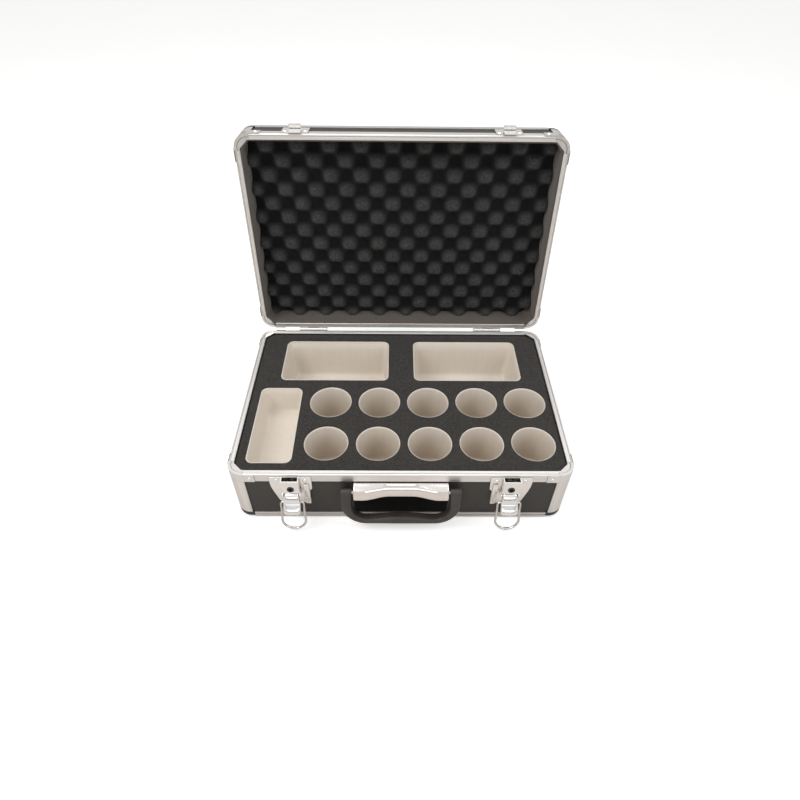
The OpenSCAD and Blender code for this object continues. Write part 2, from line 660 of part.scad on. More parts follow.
// lid catch: plate, tongue into the lock box and hook for the bail.
// Each bar: width, front face from the case front, bottom from the lid's lower face,
// depth, height
catch_bars = [
  [32, -1.3, 1.6, 1.2, 22],
  [16, -4.4, -9, 1.2, 14],
  [16, -4.4, 4, 3.6, 1.2],
  [14, -8.6, 7.2, 7.6, 1.6],
  [14, -8.6, 7.2, 1.4, 4.5]];
module lid_catches() color(LATCH_PLATE) lid_place() both_sides(latch_x) difference() {
  union() {
    for (b = catch_bars) translate([-b[0] / 2, -half_d + b[1], lid_z + b[2]])
      cube([b[0], b[3], b[4]]);
  }
  both_sides(catch_rivet_x) front_bore(lid_rivet_z);
}

// ---- fasteners ----
// pan-head screw from inside the panel into a boss of the handle bracket
module handle_screw() rotate([90, 0, 0]) union() {
  translate([0, 0, -1.6]) cylinder(h = 1.6, r = 3.5);
  translate([0, 0, -0.1]) cylinder(h = 9.4, r = 1.55);
}
module base_fasteners() color(ALUMINIUM) {
  corner_rivets(base_rivet_z);
  both_sides(screw_x) translate([0, -half_d + 5.3, screw_z]) handle_screw();
  front_rivets(plate_rivet_x, plate_rivet_z);
  back_rivets(base_rivet_z);
}
module lid_fasteners() color(ALUMINIUM) lid_place() {
  corner_rivets(lid_rivet_z);
  front_rivets(catch_rivet_x, lid_rivet_z);
  back_rivets(lid_rivet_z);
}

base_panel_front();
base_panel_back();
base_panel_left();
base_panel_right();
base_floor();
base_rim_front();
base_rim_back();
base_rim_left();
base_rim_right();
base_edge_front();
base_edge_back();
base_edge_left();
base_edge_right();
base_corner_columns();
base_ball_corners();
base_rim_brackets();
base_corner_blocks();
foam_insert();
foam_pad();
eyepiece_cups();
tray_left();
tray_right();
tray_small();
lid_panel_top();
lid_panel_front();
lid_panel_back();
lid_panel_left();
lid_panel_right();
lid_rim_front();
lid_rim_back();
lid_rim_left();
lid_rim_right();
lid_edge_front();
lid_edge_back();
lid_edge_left();
lid_edge_right();
lid_corner_columns();
lid_ball_corners();
lid_rim_brackets();
lid_corner_blocks();
lid_lining();
lid_egg_foam();
hinge_base_leaves();
hinge_lid_leaves();
hinge_pins();
handle_bracket();
handle_grip();
handle_pins();
latch_plate_left();
latch_plate_right();
latch_lever_left();
latch_lever_right();
latch_bail_left();
latch_bail_right();
latch_pins();
lock_barrel_left();
lock_barrel_right();
lid_catches();
base_fasteners();
lid_fasteners();
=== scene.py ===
# A low rectangular case framed in aluminium, its lid hinged open at the back. The base holds foam
# with ten round cups and three trays; the lid holds egg-crate foam in a fabric lining.
# The case stands on z = 0, centred on x and y. Its front faces -y and its left is -x. Shapes are
# written in millimetres; the lid's are written closed, then swung open about the hinge.
import math
import random

import bmesh
import bpy
from mathutils import Matrix, Vector, noise
from mathutils.geometry import delaunay_2d_cdt


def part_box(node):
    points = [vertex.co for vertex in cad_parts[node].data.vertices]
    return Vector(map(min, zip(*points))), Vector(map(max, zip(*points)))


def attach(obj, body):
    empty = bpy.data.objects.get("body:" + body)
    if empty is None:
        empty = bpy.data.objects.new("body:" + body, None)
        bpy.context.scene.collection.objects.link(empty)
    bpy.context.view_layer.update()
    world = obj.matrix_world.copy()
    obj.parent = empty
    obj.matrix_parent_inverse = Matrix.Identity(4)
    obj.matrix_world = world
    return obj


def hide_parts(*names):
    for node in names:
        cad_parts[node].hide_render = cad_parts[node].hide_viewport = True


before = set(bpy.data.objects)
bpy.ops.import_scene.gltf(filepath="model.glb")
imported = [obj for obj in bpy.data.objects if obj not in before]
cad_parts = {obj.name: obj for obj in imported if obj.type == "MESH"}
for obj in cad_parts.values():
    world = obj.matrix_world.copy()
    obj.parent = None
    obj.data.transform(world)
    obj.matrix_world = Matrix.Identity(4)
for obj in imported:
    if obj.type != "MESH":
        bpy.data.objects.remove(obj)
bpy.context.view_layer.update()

random.seed(7)
scene = bpy.context.scene

# ---------------------------------------------------------------- dimensions, mm and degrees
MM = 0.001
CASE_FRONT = 132.0  # the front wall stands this far in front of the origin

foam_low, foam_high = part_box("foam_insert")
FOAM_BOTTOM, FOAM_TOP = foam_low.z / MM, foam_high.z / MM
PAD_BOTTOM, PAD_TOP = 5.75, 21.75
INNER_X, INNER_Y, INNER_LEG = 192.85, 124.85, 10.0  # inside of the case: half sizes, corner cut
CORNER_EASE = 2.0  # how far the rounding of a cut corner reaches along its sides
OUTLINE_STEP = 6.0

CUP_PITCH_X, CUP_PITCH_Y = 62.4, 69.5
CUP_CENTRES = [(CUP_PITCH_X * column + 3.7, -11.8 - CUP_PITCH_Y * row)
               for row in (0, 1) for column in (-1.5, -0.5, 0.5, 1.5, 2.5)]
CUP_HOLE_RADIUS, CUP_RADIUS = 26.85, 26.68
CUP_SEGMENTS = 72

# name, centre, size, height, draft per side, gap below (None: pocket cut right through)
TRAYS = (
    ("left", (-88.5, 69.2), (144.5, 81.0), 60.0, 5.0, None),
    ("right", (90.0, 69.2), (144.5, 81.0), 60.0, 5.0, None),
    ("small", (-155.1, -49.7), (54.0, 125.5), 40.0, 3.0, 0.15),
)
TRAY_CORNER, TRAY_CORNER_STEPS = 8.5, 9
TRAY_CLEARANCE = 0.3  # a pocket's width over its tray's

HINGE_Y, HINGE_Z = 134.5, 85.15
LID_ANGLE = 96.0
LID_BOTTOM = 85.3  # the closed lid's lower edge

EGG_X, EGG_Y, EGG_LEG = 191.1, 123.1, 9.0  # half sizes, corner cut
EGG_TIP, EGG_VALLEY, EGG_BACK = (LID_BOTTOM + rise for rise in (18.8, 33.4, 34.5))
EGG_PITCH_X, EGG_PITCH_Y = 39.2, 36.2
EGG_FIRST_X, EGG_FIRST_Y = 8.2, 122.5  # one of the tips
EGG_COLUMNS, EGG_ROWS = 300, 190

GRIP_AXIS_Y, GRIP_AXIS_Z, GRIP_TILT = -140.0, 63.0, 8.0
GRIP_X = 63.8  # centre line of each arm
GRIP_ARM, GRIP_BEND = 19.2, 24.0  # straight arm length, bend radius
GRIP_SEGMENTS, GRIP_STEPS = 26, 60

BRACKET_X = 55.0  # half length
BRACKET_END_REACH, BRACKET_SWELL = 8.6, 5.8  # reach at mid-length, extra towards the ends

LATCH_X, LATCH_Y, LATCH_Z = 126.7, -138.5, 57.0  # lever axis
LEVER_TILT, BAIL_TILT = 30.0, 15.0
EYE_DOWN, EYE_IN = 10.0, 0.9  # bail eye from the lever axis, along and across the lever


def placed(x, y, z, tilt):
    """Frame at a point in mm, turned about x by -tilt degrees."""
    return (Matrix.Translation((x * MM, y * MM, z * MM))
            @ Matrix.Rotation(math.radians(-tilt), 4, "X"))


LID_OPEN = (placed(0, HINGE_Y, HINGE_Z, LID_ANGLE)
            @ Matrix.Translation((0, -HINGE_Y * MM, -HINGE_Z * MM)))


# ---------------------------------------------------------------- node graphs
class Graph:
    """Shader nodes of a material or a world."""

    def __init__(self, owner):
        owner.use_nodes = True
        self.tree = owner.node_tree
        self.coords = self.add("ShaderNodeTexCoord").outputs

    def feed(self, socket, value):
        """Link an output to the socket, or set its value."""
        if hasattr(value, "is_linked"):
            self.tree.links.new(value, socket)
        else:
            socket.default_value = (*value, 1) if socket.type == "RGBA" else value

    def add(self, kind, inputs=None, **settings):
        node = self.tree.nodes.new(kind)
        for setting, value in settings.items():
            setattr(node, setting, value)
        for socket, value in (inputs or {}).items():
            self.feed(node.inputs[socket], value)
        return node

    def mix(self, first, second, amount):
        node = self.add("ShaderNodeMix", {0: amount, 6: first, 7: second}, data_type="RGBA")
        return node.outputs[2]

    def remap(self, value, over=(0.0, 1.0), to=(0.0, 1.0)):
        """Carry the range `over` onto the range `to`, clamped."""
        return self.add("ShaderNodeMapRange", {
            "From Min": over[0], "From Max": over[1], "To Min": to[0], "To Max": to[1],
            "Value": value}).outputs["Result"]

    def axis(self, coords, name):
        return self.add("ShaderNodeSeparateXYZ", {0: coords}).outputs[name]

    def grey_ramp(self, factor, first, last, between, tint):
        """Colour ramp between two end colours, with tinted (position, grey) stops between."""
        node = self.add("ShaderNodeValToRGB", {"Fac": factor})
        elements = node.color_ramp.elements
        for element, position, colour in ((elements[0], 0.0, first), (elements[1], 1.0, last)):
            element.position = position
            element.color = (*colour, 1)
        for position, grey in between:
            elements.new(position).color = (*(grey * channel for channel in tint), 1)
        return node.outputs["Color"]


class Material(Graph):
    """Principled material whose textures lie in object space; lengths are in metres."""

    def __init__(self, name):
        self.material = bpy.data.materials.new(name)
        super().__init__(self.material)
        self.principled = self.tree.nodes["Principled BSDF"]
        self.normal = None

    def stretched(self, scale, rotation=(0, 0, 0)):
        return self.add("ShaderNodeMapping", {
            "Scale": scale, "Rotation": rotation,
            "Vector": self.coords["Object"]}).outputs["Vector"]

    def noise(self, scale, detail=3.0, roughness=0.55, vector=None, distortion=0.0):
        return self.add("ShaderNodeTexNoise", {
            "Scale": scale, "Detail": detail, "Roughness": roughness, "Distortion": distortion,
            "Vector": self.coords["Object"] if vector is None else vector}).outputs["Fac"]

    def voronoi(self, scale, feature="F1"):
        return self.add("ShaderNodeTexVoronoi", {
            "Scale": scale, "Vector": self.coords["Object"]},
            feature=feature).outputs["Distance"]

    def bump(self, height, distance, strength):
        """Add a bump on top of those already there."""
        inputs = {"Distance": distance, "Strength": strength, "Height": height}
        if self.normal is not None:
            inputs["Normal"] = self.normal
        self.normal = self.add("ShaderNodeBump", inputs).outputs["Normal"]
        self.feed(self.principled.inputs["Normal"], self.normal)

    def edge_wear(self, width):
        """1 near edges, from the bevel normal against the true one."""
        bevel = self.add("ShaderNodeBevel", {"Radius": width}, samples=4)
        geometry = self.add("ShaderNodeNewGeometry")
        match = self.add("ShaderNodeVectorMath", {
            0: bevel.outputs["Normal"], 1: geometry.outputs["Normal"]}, operation="DOT_PRODUCT")
        return self.remap(match.outputs["Value"], over=(0.75, 0.99), to=(1.0, 0.0))

    def set(self, **inputs):
        for name, value in inputs.items():
            self.feed(self.principled.inputs[name.replace("_", " ")], value)


def shade(colour, factor):
    return tuple(channel * factor for channel in colour)


# ---------------------------------------------------------------- materials
def metal(name, colour, roughness, along, spread=0.10, dark=0.80, depth=0.00004, tilt=0.0):
    """Brushed metal. along: streak axis; spread: roughness range; dark: streak shade."""
    mat = Material(name)
    stretch = tuple(6 if axis == along else 900 for axis in "xyz")
    streaks = mat.noise(scale=1.0, detail=4.0, roughness=0.6,
                        vector=mat.stretched(stretch, rotation=(tilt, 0, 0)))
    clouds = mat.noise(scale=35.0, detail=3.0, roughness=0.5)
    scratches = mat.noise(scale=1.0, detail=2.0, roughness=0.5, vector=mat.stretched(
        shade(stretch, 0.35), rotation=(tilt, 0.02, 0.02)))
    tone = mat.mix(shade(colour, dark), colour, mat.remap(streaks, over=(0.3, 0.62)))
    tone = mat.mix(tone, shade(colour, 0.86), mat.remap(clouds, over=(0.45, 0.8), to=(0.0, 0.45)))
    # painted shade: the colour darkens towards near black where ambient occlusion finds joints and
    # crevices
    joint_shade = mat.add("ShaderNodeAmbientOcclusion", {"Distance": 0.0035}, samples=6)
    tone = mat.mix(tone, shade(colour, 0.10),
                   mat.remap(joint_shade.outputs["AO"], over=(0.25, 0.80), to=(0.85, 0.0)))
    mat.set(Base_Color=tone, Metallic=1.0, Roughness=mat.remap(
        streaks, over=(0.3, 0.7), to=(roughness - spread * 0.5, roughness + spread)))
    mat.bump(streaks, distance=depth, strength=0.8)
    mat.bump(mat.remap(scratches, over=(0.62, 0.7)), distance=0.00002, strength=0.6)
    return mat.material


def plastic(name, colour, roughness, grain=900.0, depth=0.00006):
    """Grained plastic, paler along its worn edges."""
    mat = Material(name)
    fine = mat.noise(scale=grain, detail=3.0, roughness=0.6)
    clouds = mat.noise(scale=28.0, detail=4.0, roughness=0.55)
    tone = mat.mix(shade(colour, 0.75), shade(colour, 1.25), mat.remap(clouds, over=(0.3, 0.7)))
    worn = tuple(min(1, channel * 1.6 + 0.02) for channel in colour)
    tone = mat.mix(tone, worn, mat.remap(mat.edge_wear(width=0.0009), to=(0.0, 0.5)))
    mat.set(Base_Color=tone, Specular_IOR_Level=0.45, Roughness=mat.remap(
        clouds, over=(0.3, 0.7), to=(roughness - 0.06, roughness + 0.08)))
    mat.bump(fine, distance=depth, strength=0.7)
    mat.bump(mat.voronoi(grain * 0.55), distance=depth * 0.7, strength=0.5)
    return mat.material


def foam(name, colour, cell=1150.0, depth=0.00035, speckle=0.55, valley_shade=None):
    """Open-cell foam; the optional colour is painted shade, laid on where the mesh's per-vertex
    nearness to a tip is low.
    """
    mat = Material(name)
    cells = mat.voronoi(cell)
    small_cells = mat.voronoi(cell * 2.3)
    speckles = mat.noise(scale=cell * 0.45, detail=4.0, roughness=0.7)
    clouds = mat.noise(scale=22.0, detail=3.0, roughness=0.6)
    tone = mat.mix(shade(colour, 1 - speckle), shade(colour, 1 + speckle),
                   mat.remap(speckles, over=(0.32, 0.68)))
    tone = mat.mix(tone, shade(colour, 0.35), mat.remap(cells, over=(0.0, 0.28), to=(0.8, 0.0)))
    tone = mat.mix(tone, shade(colour, 1.25), mat.remap(clouds, over=(0.45, 0.7), to=(0.0, 0.5)))
    # painted shade: darker into the valleys between the tips, near black at the bottom
    if valley_shade is not None:
        height = mat.add("ShaderNodeAttribute", attribute_name="valley_shade").outputs["Fac"]
        tone = mat.mix(tone, valley_shade, mat.remap(height, over=(0.22, 0.82), to=(0.96, 0.0)))
    mat.set(Base_Color=tone, Roughness=0.97, Specular_IOR_Level=0.12,
            Sheen_Weight=0.12, Sheen_Roughness=0.6)
    mat.bump(cells, distance=depth, strength=0.9)
    mat.bump(small_cells, distance=depth * 0.5, strength=0.7)
    mat.bump(speckles, distance=depth * 0.8, strength=0.6)
    return mat.material


def laminate(name, handle_shadow=False):
    """Dark panel laminate, optionally with painted shadow: a near-black band behind the handle,
    where the bracket shades the panel.
    """
    mat = Material(name)
    grain = mat.noise(scale=1500.0, detail=3.0, roughness=0.6)
    pebbles = mat.voronoi(1000.0, feature="SMOOTH_F1")
    clouds = mat.noise(scale=14.0, detail=4.0, roughness=0.6)
    grain_dark, grain_light = (0.031, 0.0275, 0.025), (0.048, 0.043, 0.039)
    tone = mat.mix(grain_dark, grain_light, mat.remap(grain, over=(0.3, 0.7)))
    cloud_tone = (0.038, 0.035, 0.032)
    tone = mat.mix(tone, cloud_tone, mat.remap(clouds, over=(0.4, 0.7), to=(0.0, 0.6)))
    specular = 0.35
    # painted shadow: near black and less glossy between the handle's arms, under the bracket
    if handle_shadow:
        across = mat.axis(mat.coords["Object"], "X")
        off_centre = mat.add("ShaderNodeMath", {0: across}, operation="ABSOLUTE").outputs[0]
        middle = mat.remap(off_centre, over=(0.0560, 0.0566), to=(1.0, 0.0))
        black = (0.0035, 0.0033, 0.0033)
        tone = mat.mix(tone, black, middle)
        specular = mat.remap(middle, to=(specular, 0.08))
    mat.set(Base_Color=tone, Specular_IOR_Level=specular,
            Roughness=mat.remap(grain, over=(0.3, 0.7), to=(0.42, 0.60)))
    mat.bump(pebbles, distance=0.00012, strength=0.6)
    mat.bump(grain, distance=0.00005, strength=0.6)
    return mat.material


def liner(name, bottom_shade):
    """Pale liner with faint streaks and painted shade: it darkens towards the bottom, by the given
    amount.
    """
    mat = Material(name)
    streaks = mat.noise(scale=1.0, detail=3.0, roughness=0.55,
                        vector=mat.stretched((210, 210, 14)))
    layers = mat.noise(scale=1.0, detail=3.0, roughness=0.6, vector=mat.stretched((10, 10, 420)))
    clouds = mat.noise(scale=24.0, detail=3.0, roughness=0.5)
    fine = mat.noise(scale=1800.0, detail=2.0, roughness=0.5)
    streak_dark, streak_light = (0.775, 0.715, 0.645), (0.805, 0.75, 0.68)
    layer_tone, cloud_tone = (0.76, 0.69, 0.60), (0.79, 0.715, 0.62)
    bottom_shade_tone = (0.56, 0.475, 0.385)
    tone = mat.mix(streak_dark, streak_light, mat.remap(streaks, over=(0.3, 0.7)))
    tone = mat.mix(tone, layer_tone, mat.remap(layers, over=(0.45, 0.75), to=(0.0, 0.35)))
    tone = mat.mix(tone, cloud_tone, mat.remap(clouds, over=(0.42, 0.72), to=(0.0, 0.4)))
    # painted shade: darker towards the bottom of each cup and tray
    height = mat.axis(mat.coords["Object"], "Z")
    tone = mat.mix(tone, bottom_shade_tone, mat.remap(
        height, over=(FOAM_BOTTOM * MM, FOAM_TOP * MM - 0.004), to=(bottom_shade, 0.0)))
    mat.set(Base_Color=tone, Specular_IOR_Level=0.35,
            Roughness=mat.remap(streaks, over=(0.3, 0.7), to=(0.46, 0.60)))
    mat.bump(streaks, distance=0.00005, strength=0.4)
    mat.bump(layers, distance=0.00004, strength=0.4)
    mat.bump(fine, distance=0.00003, strength=0.6)
    return mat.material


def lining_fabric():
    """Brown napped fabric with a weave running along x."""
    mat = Material("lid_lining_fabric")
    nap = mat.noise(scale=1700.0, detail=3.0, roughness=0.7)
    weave = mat.noise(scale=1.0, detail=3.0, roughness=0.6,
                      vector=mat.stretched((500, 2600, 2600)))
    clouds = mat.noise(scale=26.0, detail=4.0, roughness=0.6, distortion=0.4)
    nap_dark, nap_light = (0.090, 0.074, 0.062), (0.165, 0.138, 0.118)
    cloud_tone = (0.118, 0.100, 0.088)
    tone = mat.mix(nap_dark, nap_light, mat.remap(nap, over=(0.3, 0.7)))
    tone = mat.mix(tone, cloud_tone, mat.remap(clouds, over=(0.4, 0.68), to=(0.0, 0.7)))
    mat.set(Base_Color=tone, Roughness=0.95, Specular_IOR_Level=0.15,
            Sheen_Weight=0.25, Sheen_Roughness=0.5)
    mat.bump(weave, distance=0.00025, strength=0.6)
    mat.bump(nap, distance=0.0002, strength=0.6)
    mat.bump(clouds, distance=0.0012, strength=0.5)
    return mat.material


ALUMINIUM = dict(colour=(0.86, 0.838, 0.815), roughness=0.34)
MATERIALS = {
    "alu_x": metal("aluminium_along_x", along="x", **ALUMINIUM),
    "alu_y": metal("aluminium_along_y", along="y", **ALUMINIUM),
    "alu_z": metal("aluminium_along_z", along="z", **{**ALUMINIUM, "roughness": 0.36}),
    "alu_lid": metal("aluminium_along_lid", along="z", tilt=math.radians(8), **ALUMINIUM),
    "steel": metal("plated_steel", colour=(0.95, 0.93, 0.905), roughness=0.22, along="x",
                   spread=0.06, dark=0.93, depth=0.00002),
    "chrome": metal("polished_chrome", colour=(0.90, 0.90, 0.90), roughness=0.13, along="x",
                    spread=0.04, dark=0.96, depth=0.00001),
    "cast": metal("cast_bracket", colour=(0.84, 0.80, 0.765), roughness=0.20, along="x",
                  spread=0.05, dark=0.95, depth=0.00001),
    "wire": metal("bail_wire", colour=(0.66, 0.64, 0.62), roughness=0.16, along="x",
                  spread=0.04, dark=0.92, depth=0.00001),
    "dark_steel": metal("lock_steel", colour=(0.085, 0.083, 0.082), roughness=0.34, along="z",
                        spread=0.08),
    "bracket": metal("nickel_bracket", colour=(0.84, 0.82, 0.80), roughness=0.22, along="z",
                     spread=0.05, dark=0.9, depth=0.00002),
    "black": plastic("moulded_black_plastic", colour=(0.022, 0.021, 0.020), roughness=0.42),
    "grip": plastic("grip_plastic", colour=(0.040, 0.035, 0.031), roughness=0.42,
                    grain=1200.0, depth=0.00005),
    "foam": foam("cut_foam", colour=(0.037, 0.0335, 0.0305)),
    "pad": foam("pad_foam", colour=(0.030, 0.029, 0.028), cell=700.0),
    # painted shade colour for the egg-crate valleys
    "egg": foam("convoluted_foam", colour=(0.043, 0.043, 0.043), cell=900.0, depth=0.0005,
                speckle=0.7, valley_shade=(0.003, 0.003, 0.003)),
    "panel": laminate("panel_laminate"),
    # laminate with the painted shadow behind the handle
    "panel_handle_shadow": laminate("panel_laminate_handle_shadow", handle_shadow=True),
    # painted shade towards the bottom: strong in the deep cups, faint in the trays
    "cup": liner("cup_liner", bottom_shade=0.72),
    "tray": liner("tray_liner", bottom_shade=0.14),
    "lining": lining_fabric(),
}


# ---------------------------------------------------------------- mesh helpers
def smooth_step(t):
    t = max(0.0, min(1.0, t))
    return t * t * (3 - 2 * t)


def ripple(x, y, z):
    return noise.noise(Vector((x, y, z)))


def smooth_shade(mesh, angle):
    for polygon in mesh.polygons:
        polygon.use_smooth = True
    mesh.set_sharp_from_angle(angle=math.radians(angle))


def make(name, verts, faces, material, body, replaced, slot, sharp, frame=None, valley_shade=None):
    """Object from points in mm; edges steeper than `sharp` degrees stay crisp."""
    mesh = bpy.data.meshes.new(name)
    mesh.from_pydata([Vector(point) * MM for point in verts], [], faces)
    # per-vertex nearness to a tip, which sets where a material paints shade
    if valley_shade is not None:
        mesh.attributes.new("valley_shade", "FLOAT", "POINT").data.foreach_set("value", valley_shade)
    cleaned = bmesh.new()
    cleaned.from_mesh(mesh)
    bmesh.ops.remove_doubles(cleaned, verts=cleaned.verts, dist=1e-7)
    bmesh.ops.recalc_face_normals(cleaned, faces=cleaned.faces)
    cleaned.to_mesh(mesh)
    cleaned.free()
    if frame is not None:
        mesh.transform(frame)
    made = bpy.data.objects.new(name, mesh)
    scene.collection.objects.link(made)
    mesh.materials.append(MATERIALS[material])
    smooth_shade(mesh, sharp)
    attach(made, body)
    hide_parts(replaced)


def bridge(loops, faces, base, count):
    """Quads between successive closed loops of `count` points, from vertex `base` on."""
    for i in range(loops - 1):
        low, high = base + i * count, base + (i + 1) * count
        for j in range(count):
            k = (j + 1) % count
            faces.append((low + j, low + k, high + k, high + j))


def cap(faces, base, count):
    faces.append(tuple(range(base, base + count)))


def loft(levels, verts, faces, centre, wobble=None):
    """Closed surface through (points, z) levels round a centre."""
    count = len(levels[0][0])
    base = len(verts)
    for points, z in levels:
        for x, y in points:
            point = Vector((centre[0] + x, centre[1] + y, z))
            verts.append(point + wobble(point) if wobble else point)
    bridge(len(levels), faces, base, count)
    faces.append(tuple(reversed(range(base, base + count))))
    cap(faces, base + (len(levels) - 1) * count, count)


def rounded_rect(width, depth, radius):
    corner_x, corner_y = width / 2 - radius, depth / 2 - radius
    points = []
    for x, y, start in ((corner_x, corner_y, 0), (-corner_x, corner_y, 90),
                        (-corner_x, -corner_y, 180), (corner_x, -corner_y, 270)):
        for i in range(TRAY_CORNER_STEPS + 1):
            angle = math.radians(start + 90 * i / TRAY_CORNER_STEPS)
            points.append((x + radius * math.cos(angle), y + radius * math.sin(angle)))
    return points


def circle(radius):
    angles = [2 * math.pi * i / CUP_SEGMENTS for i in range(CUP_SEGMENTS)]
    return [(radius * math.cos(angle), radius * math.sin(angle)) for angle in angles]


def cut_rect(half_x, half_y, leg):
    """Rectangle with 45 degree corners, each corner point slightly rounded."""
    corners = [(half_x, -half_y + leg), (half_x, half_y - leg),
               (half_x - leg, half_y), (-half_x + leg, half_y),
               (-half_x, half_y - leg), (-half_x, -half_y + leg),
               (-half_x + leg, -half_y), (half_x - leg, -half_y)]
    points = []
    for i, corner in enumerate(corners):
        corner = Vector(corner)
        before, after = Vector(corners[i - 1]), Vector(corners[(i + 1) % 8])
        start = corner + (before - corner).normalized() * CORNER_EASE
        end = corner + (after - corner).normalized() * CORNER_EASE
        middle = corner + (start + end - 2 * corner) * 0.28
        points += [tuple(start), tuple(middle), tuple(end)]
    return points


def inner_outline(inset, leg_rate):
    """Inside outline of the case moved inwards, in steps of about OUTLINE_STEP."""
    corners = cut_rect(INNER_X - inset, INNER_Y - inset, INNER_LEG - leg_rate * inset)
    points = []
    for i, (x, y) in enumerate(corners):
        next_x, next_y = corners[(i + 1) % len(corners)]
        count = max(1, int(math.hypot(next_x - x, next_y - y) / OUTLINE_STEP))
        points += [(x + (next_x - x) * t / count, y + (next_y - y) * t / count)
                   for t in range(count)]
    return points


# ---------------------------------------------------------------- foam in the base
# rounded rim of a cut: distance into the foam, height from the top face
FOAM_RIM = ((0.0, -6.0), (0.0, -1.4), (0.12, -0.62), (0.5, -0.16), (1.2, 0.0))


def inside(point, polygon):
    x, y = point
    within = False
    last_x, last_y = polygon[-1]
    for corner_x, corner_y in polygon:
        if (corner_y > y) != (last_y > y):
            crossing = (last_x - corner_x) * (y - corner_y) / (last_y - corner_y) + corner_x
            if x < crossing:
                within = not within
        last_x, last_y = corner_x, corner_y
    return within


def in_foam(point, outlines):
    return inside(point, outlines[0]) and not any(inside(point, hole) for hole in outlines[1:])


def foam_sheet(name, bottom, top, holes, material, replaced, step, wave):
    """Slab with rounded edges. holes: (offset -> outline, pocket floor or None if through)."""
    verts, faces = [], []

    def put(points, z, height):
        """Add points rippled by up to about `height`; returns the first index."""
        base = len(verts)
        for x, y in points:
            rise = ripple(x * 0.035, y * 0.035, 3.1) + 0.5 * ripple(x * 0.12, y * 0.12, 8.2)
            verts.append((x, y, z + height * rise))
        return base

    def fill(loops, spare, flip):
        """Triangulate between (first index, outline) loops through spare (index, point)s."""
        flat, index, edges = [], [], []
        for base, points in loops:
            start, count = len(flat), len(points)
            flat += [Vector(point) for point in points]
            index += range(base, base + count)
            edges += [(start + j, start + (j + 1) % count) for j in range(count)]
        for base, point in spare:
            flat.append(Vector(point))
            index.append(base)
        outlines = [points for _, points in loops]
        found, _, triangles, origins, _, _ = delaunay_2d_cdt(flat, edges, [], 0, 1e-5)
        for triangle in triangles:
            centre = sum((found[i] for i in triangle), Vector((0, 0))) / len(triangle)
            if in_foam(centre, outlines):
                face = [index[origins[i][0]] for i in triangle]
                faces.append(tuple(reversed(face) if flip else face))

    # walls and rounded rims of the slab and of each hole
    top_loops, bottom_loops, pocket_floors = [], [], []
    for outline, floor in [(lambda inset: inner_outline(inset, 0.41), None)] + holes:
        wall = outline(0.0)
        base = put(wall, bottom if floor is None else floor, 0.0)
        for inset, drop in FOAM_RIM:
            rim = outline(inset)
            rim_base = put(rim, top + drop, wave if drop > -1.5 else 0.0)
        bridge(len(FOAM_RIM) + 1, faces, base, len(wall))
        top_loops.append((rim_base, rim))
        if floor is None:
            bottom_loops.append((base, wall))
        else:
            pocket_floors.append((base, len(wall)))

    # jittered grid over the top face, kept clear of the outlines
    outlines = [points for _, points in top_loops]
    clear = (step * 0.35) ** 2
    jitter = random.Random(5)
    grid = []
    grid_x = -INNER_X + step
    while grid_x < INNER_X:
        grid_y = -INNER_Y + step
        while grid_y < INNER_Y:
            x = grid_x + jitter.uniform(-0.2, 0.2) * step
            y = grid_y + jitter.uniform(-0.2, 0.2) * step
            if in_foam((x, y), outlines) and min(
                    (x - edge_x) ** 2 + (y - edge_y) ** 2
                    for points in outlines for edge_x, edge_y in points[::2]) > clear:
                grid.append((put([(x, y)], top, wave), (x, y)))
            grid_y += step
        grid_x += step

    fill(top_loops, grid, flip=False)
    fill(bottom_loops, [], flip=True)
    for base, count in pocket_floors:
        cap(faces, base, count)
    make(name, verts, faces, material, "case_base", replaced, "foam", sharp=50.0)


def moved(points, centre):
    return [(centre[0] + x, centre[1] + y) for x, y in points]


def cup_hole(centre):
    return lambda grow: moved(circle(CUP_HOLE_RADIUS + grow), centre)


def tray_hole(centre, size):
    width, depth = (side + TRAY_CLEARANCE for side in size)
    return lambda grow: moved(
        rounded_rect(width + 2 * grow, depth + 2 * grow, TRAY_CORNER + grow), centre)


def build_base_foam():
    holes = [(cup_hole(centre), None) for centre in CUP_CENTRES]
    for _, centre, size, height, _, gap in TRAYS:
        floor = None if gap is None else FOAM_TOP - (height + gap)
        holes.append((tray_hole(centre, size), floor))
    foam_sheet("foam_insert_cut", FOAM_BOTTOM, FOAM_TOP, holes, "foam", "foam_insert",
               step=5.0, wave=0.22)
    foam_sheet("foam_pad_sheet", PAD_BOTTOM, PAD_TOP, [], "pad", "foam_pad", step=12.0, wave=0.0)


# ---------------------------------------------------------------- cups and trays
def build_cups():
    low, top, outer = FOAM_BOTTOM, FOAM_TOP, CUP_RADIUS
    # radius, z: from the underside up the outside, over the lip and down the inside
    profile = [
        (20.0, low + 0.02), (26.2, low + 0.02), (outer, low + 0.6), (outer, top - 20),
        (outer, top - 0.9), (26.62, top - 0.5), (26.4, top - 0.38), (26.1, top - 0.6),
        (25.75, top - 1.05), (25.55, top - 1.6), (25.48, top - 2.6), (25.44, top - 12),
        (25.3, top - 40), (25.2, low + 7), (24.9, low + 4.4), (24.1, low + 2.7),
        (22.6, low + 1.75), (20.0, low + 1.5), (10.0, low + 1.48)]
    verts, faces = [], []
    for i, centre in enumerate(CUP_CENTRES):
        draw = random.Random(30 + i)
        phase, squeeze = draw.uniform(0, 6.28), draw.uniform(0.05, 0.13)
        levels = []
        for radius, z in profile:
            points = []
            for x, y in circle(1.0):
                # slightly oval above the base
                oval = -squeeze * (0.5 + 0.5 * math.sin(2 * math.atan2(y, x) + phase))
                reach = radius + (0.0 if z < low + 1 else oval)
                points.append((x * reach, y * reach))
            levels.append((points, z))
        loft(levels, verts, faces, centre)
    make("eyepiece_cup_liners", verts, faces, "cup", "case_base", "eyepiece_cups", "liner",
         sharp=35.0)


